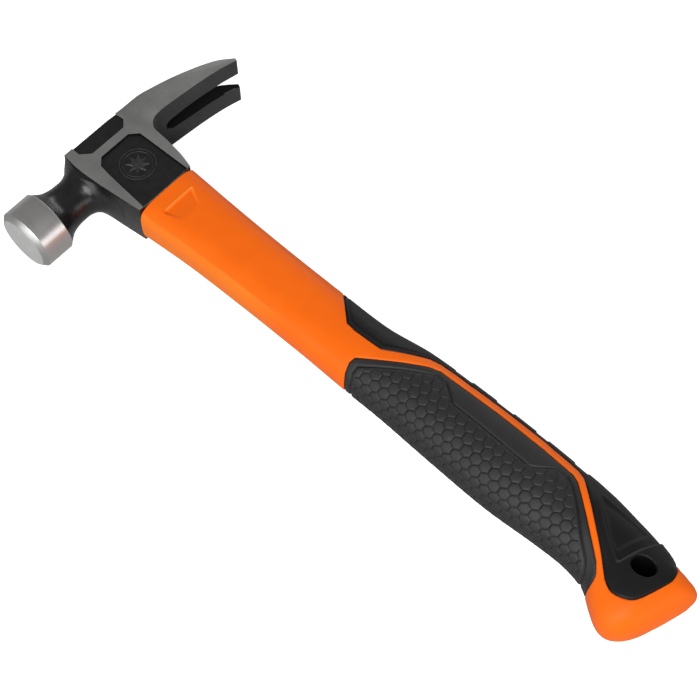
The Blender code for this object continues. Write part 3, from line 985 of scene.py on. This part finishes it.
def polished_steel():
    """Turned steel with fine lines round the poll."""
    n = Nodes("polished_poll")
    lines = n.noise(900.0, 3.0, (4.0, 0.05, 0.05), 0.6)
    colour = n.mix(n.span(n.noise(50.0, 3.0), 0.0, 1.0), (0.58, 0.56, 0.55), (0.70, 0.68, 0.67))
    grain = n.noise(2200.0, 3.0, roughness=0.7)
    return n.out(
        Base_Color=colour, Metallic=1.0, Roughness=n.span(lines, 0.27, 0.35),
        Normal=n.bump(grain, 0.00003, 0.35, n.bump(lines, 0.00002, 0.16)),
    )


def black_paint():
    """Glossy black paint over the forging's uneven skin."""
    n = Nodes("black_enamel")
    cloud = n.noise(240.0, 4.0)
    colour = n.mix(n.span(cloud, 0.0, 1.0), (0.005, 0.005, 0.0055), (0.009, 0.009, 0.0095))
    grain = n.noise(1500.0, 3.0, roughness=0.65)
    skin = n.bump(n.noise(320.0, 3.0), 0.00025, 0.45)
    return n.out(
        Base_Color=colour, Roughness=n.span(cloud, 0.22, 0.30),
        Normal=n.bump(grain, 0.00006, 0.6, skin), Specular_IOR_Level=0.5,
    )


def plain(name, low, high, rough, scale=200.0, shine=0.5):
    """A material with a slight mottle between two colours."""
    n = Nodes(name)
    cloud = n.noise(scale, 4.0)
    return n.out(
        Base_Color=n.mix(n.span(cloud, 0.0, 1.0), low, high),
        Roughness=n.span(cloud, rough - 0.05, rough + 0.05),
        Normal=n.bump(cloud, 0.00004, 0.4), Specular_IOR_Level=shine,
    )


# ---- camera, floor and lights ----
ROOM_LIGHT = 0.25  # what the surroundings shed; they look white themselves
FLOOR_BOUNCE = 0.45  # how much light the floor gives back
FLOOR_GLOW = 0.75  # what the floor adds where it is seen
FLOOR_HALF = 6.0  # metres
FLOOR_DROP = 0.0002  # metres, so that the floor and the hammer's lowest faces stay apart
AZIMUTH, ELEVATION, ROLL = -46.8, 61.84, -1.28  # degrees
AIM = Vector((-0.00762, 0.00844, 0.01487))  # metres
REACH = 0.6749  # metres
SENSOR = 36.0
FOCAL_WIDTHS = 16.0 / 7.0  # focal length in widths of the frame

camera_data = bpy.data.cameras.new("camera")
camera_data.lens = SENSOR * FOCAL_WIDTHS
camera_data.sensor_width = SENSOR
camera_data.clip_start, camera_data.clip_end = 0.01, 50.0
camera = new_object("camera", camera_data)
az, el, roll = (math.radians(v) for v in (AZIMUTH, ELEVATION, ROLL))
back = Vector((math.sin(az) * math.cos(el), -math.cos(az) * math.cos(el), math.sin(el)))
right = Vector((0, 0, 1)).cross(back).normalized()
up = back.cross(right)
turned_right = right * math.cos(roll) + up * math.sin(roll)
turned_up = up * math.cos(roll) - right * math.sin(roll)
facing = Matrix((turned_right, turned_up, back)).transposed().to_4x4()
camera.matrix_world = Matrix.Translation(AIM + back * REACH) @ facing
bpy.context.scene.camera = camera
bpy.context.scene.view_settings.view_transform = "Standard"

floor_mesh = bpy.data.meshes.new("studio_floor")
corners = [(FLOOR_HALF * u, FLOOR_HALF * v, 0) for u, v in ((-1, -1), (1, -1), (1, 1), (-1, 1))]
floor_mesh.from_pydata(corners, [], [(0, 1, 2, 3)])
studio_floor = new_object("studio_floor", floor_mesh)
studio_floor.location.z = cad_low.z - FLOOR_DROP
n = Nodes("pale_floor")
mottle = n.span(n.noise(6.0, 2.0), 0.0, 1.0)
n.out(
    Base_Color=n.mix(mottle, (0.88, 0.88, 0.88), (0.90, 0.90, 0.90)), Roughness=0.9,
    Emission_Color=(1.0, 1.0, 1.0), Emission_Strength=FLOOR_GLOW, Specular_IOR_Level=0.0,
)
# The floor is seen pale, and is darker in what it throws back onto the hammer.
dim = n.add("ShaderNodeBsdfDiffuse", {"Color": (FLOOR_BOUNCE, FLOOR_BOUNCE, FLOOR_BOUNCE, 1.0)})
seen = n.add("ShaderNodeMixShader", {
    0: n.add("ShaderNodeLightPath").outputs["Is Camera Ray"],
    1: dim.outputs[0], 2: n.shader.outputs[0],
})
n.tree.links.new(seen.outputs[0], n.tree.nodes["Material Output"].inputs["Surface"])
floor_mesh.materials.append(n.mat)

world = bpy.data.worlds.new("studio")
world.use_nodes = True
world_nodes, world_links = world.node_tree.nodes, world.node_tree.links
background = world_nodes["Background"]
background.inputs["Color"].default_value = (1.0, 1.0, 1.0, 1.0)
glow = world_nodes.new("ShaderNodeMapRange")
glow.inputs["To Min"].default_value, glow.inputs["To Max"].default_value = ROOM_LIGHT, 1.0
is_seen = world_nodes.new("ShaderNodeLightPath").outputs["Is Camera Ray"]
world_links.new(is_seen, glow.inputs["Value"])
world_links.new(glow.outputs["Result"], background.inputs["Strength"])
bpy.context.scene.world = world


def softbox(name, place, size, power):
    """A rectangular lamp that faces the middle of the scene; metres and watts."""
    light = bpy.data.lights.new(name, "AREA")
    light.shape = "RECTANGLE"
    light.size, light.size_y = size
    light.energy = power
    lamp = new_object(name, light)
    lamp.location = place
    lamp.rotation_euler = (-Vector(place)).to_track_quat("-Z", "Y").to_euler()


softbox("key_box", (-0.8, -0.55, 1.2), (1.0, 1.0), 18.5)
softbox("front_box", (-1.4, 0.0, 0.55), (1.6, 0.8), 10.0)
softbox("low_box", (0.1, -1.5, 0.4), (1.6, 0.6), 5.0)
softbox("back_box", (1.3, 0.5, 0.45), (1.6, 0.5), 6.0)

# ---- pieces ----
# One finish for each zone of the head, in the zones' order.
steel = [
    ground_steel("ground_land", (0.39, 0.39, 0.384), (0.54, 0.54, 0.53), 0.44),
    polished_steel(),
    ground_steel("ground_face", (0.80, 0.80, 0.795), (0.90, 0.90, 0.89), 0.54),
    black_paint(),
    ground_steel("forged_claw", (0.052, 0.052, 0.054), (0.078, 0.078, 0.080), 0.44, metallic=0.6),
    ground_steel("bright_edge", (0.42, 0.42, 0.42), (0.52, 0.52, 0.52), 0.3),
    # Black paint of the nail slot, darker and duller than elsewhere as painted shade.
    plain("slot_black_and_painted_shade", (0.002, 0.002, 0.002), (0.004, 0.004, 0.004), 0.8, shine=0.1),
    # Painted highlight: lighter black for the emblem's raised faces.
    plain("emblem_painted_glint", (0.012, 0.012, 0.012), (0.028, 0.028, 0.028), 0.45, 900.0),
    ground_steel("ground_chamfer", (0.54, 0.54, 0.535), (0.62, 0.62, 0.61), 0.44),
    plain("worn_rim", (0.006, 0.006, 0.006), (0.16, 0.16, 0.16), 0.4, 700.0),
]
head = build_head()
paint_head(head)
finish_piece(head, steel, "forged_steel", "head", angle=28.0)


def core_hole(name, low, high):
    """The core's section with a gap round it, as a tool between two heights."""
    x, a, b = CORE
    return loft(name, [oval(x, a + GAP, b + GAP, y, CORE_SQUARENESS, 64) for y in (low, high)])


bond_rings = []
for y, (x, a, b), inset in (
    (HEAD_FOOT + 0.4, EYE_FOOT, 0.0), (BOND_TOP - 0.3, EYE_TOP, 0.0), (BOND_TOP, EYE_TOP, 0.4),
):
    bond_rings.append(oval(x, a - GAP - inset, b - GAP - inset, y, EYE_SQUARENESS))
bond = loft("epoxy_fill", bond_rings)
core_seat = core_hole("cut_core_seat", HEAD_FOOT - 5, CORE_TOP + GAP)
epoxy = plain("cured_epoxy", (0.012, 0.012, 0.013), (0.02, 0.02, 0.021), 0.18)
finish_piece(combine(bond, [("DIFFERENCE", core_seat)]), [epoxy], "epoxy_resin", "epoxy_bond")

core_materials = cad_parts["core_rod"].data.materials
core_materials.clear()
core_materials.append(
    plain("pultruded_glass", (0.62, 0.54, 0.34), (0.70, 0.62, 0.42), 0.5, 400.0)
)

FINE = 0.3  # spacing of the points on the front grip
COARSE = FINE + 0.1  # and on the rear one
SEAT_STEP = 2.0
SEAT_POINTS = 72
GIRTH = 86  # about how far it is round the handle

jacket = handle_skin("jacket_moulding", heights_between(HANDLE[0, 0], HANDLE[-1, 0], 0.5), 168)
jacket_tools = [
    ("DIFFERENCE", prism("cut_pocket", grown(outline, GAP / 2), -THROUGH, THROUGH))
    for outline in (FRONT_GRIP, REAR_GRIP)
]
seat_heights = heights_between(-116.0, -311.5, SEAT_STEP)
seat = handle_skin("add_seat", seat_heights, SEAT_POINTS, GRIP_SKIN + GAP / 2)
jacket_tools += [
    ("UNION", seat), ("DIFFERENCE", core_hole("cut_bore", CORE_END - GAP, 0.0)),
    ("DIFFERENCE", hole_prism()),
]
combine(jacket, jacket_tools)
press(jacket, jacket_field)
# Painted shade: the jacket's own wall inside the lanyard hole gets a near-black, dull finish.
middle = face_values(jacket.data, "center") / MM - ORIGIN
in_hole = hole_distance(middle[:, 0], middle[:, 1]) < HOLE_WALL_REACH
hole_shade = plain("hole_painted_shade", (0.002, 0.002, 0.002), (0.004, 0.004, 0.004), 0.8, shine=0.1)
finish_piece(jacket, [orange_plastic(), hole_shade], "orange_plastic", "handle_jacket")
jacket.data.polygons.foreach_set("material_index", in_hole.astype(np.int32))


def build_grip(name, outline, heights, step, field, material, node, holes=()):
    """A soft moulding: the handle's skin inside an outline, hollowed to sit on the jacket."""
    around = int(GIRTH / step / 2) * 2
    grip = handle_skin(name, heights_between(*heights, step), around)
    seat_heights = heights_between(-105.0, -311.6, SEAT_STEP)
    combine(grip, [
        ("INTERSECT", prism("keep", grown(outline, -GAP / 2), -THROUGH, THROUGH)),
        ("DIFFERENCE", handle_skin("cut_seat", seat_heights, SEAT_POINTS, GRIP_SKIN - GAP / 2)),
        *(("DIFFERENCE", hole) for hole in holes),
    ])
    press(grip, field)
    finish_piece(grip, [material], "black_rubber", node)


honeycomb_rubber = rubber(
    "honeycomb_rubber", (0.0078, 0.0078, 0.0081), (0.012, 0.012, 0.0123), 0.58, 0.5, 0.5
)
smooth_rubber = rubber(
    "smooth_rubber", (0.0032, 0.0032, 0.0034), (0.0052, 0.0052, 0.0054), 0.52, 0.24, 0.15
)
build_grip(
    "front_grip_moulding", FRONT_GRIP, (-148.0, -286.0), FINE, front_field, honeycomb_rubber,
    "front_grip",
)
build_grip(
    "rear_grip_moulding", REAR_GRIP, (-122.0, -309.0), COARSE, rear_field, smooth_rubber,
    "rear_grip", [hole_prism()],
)
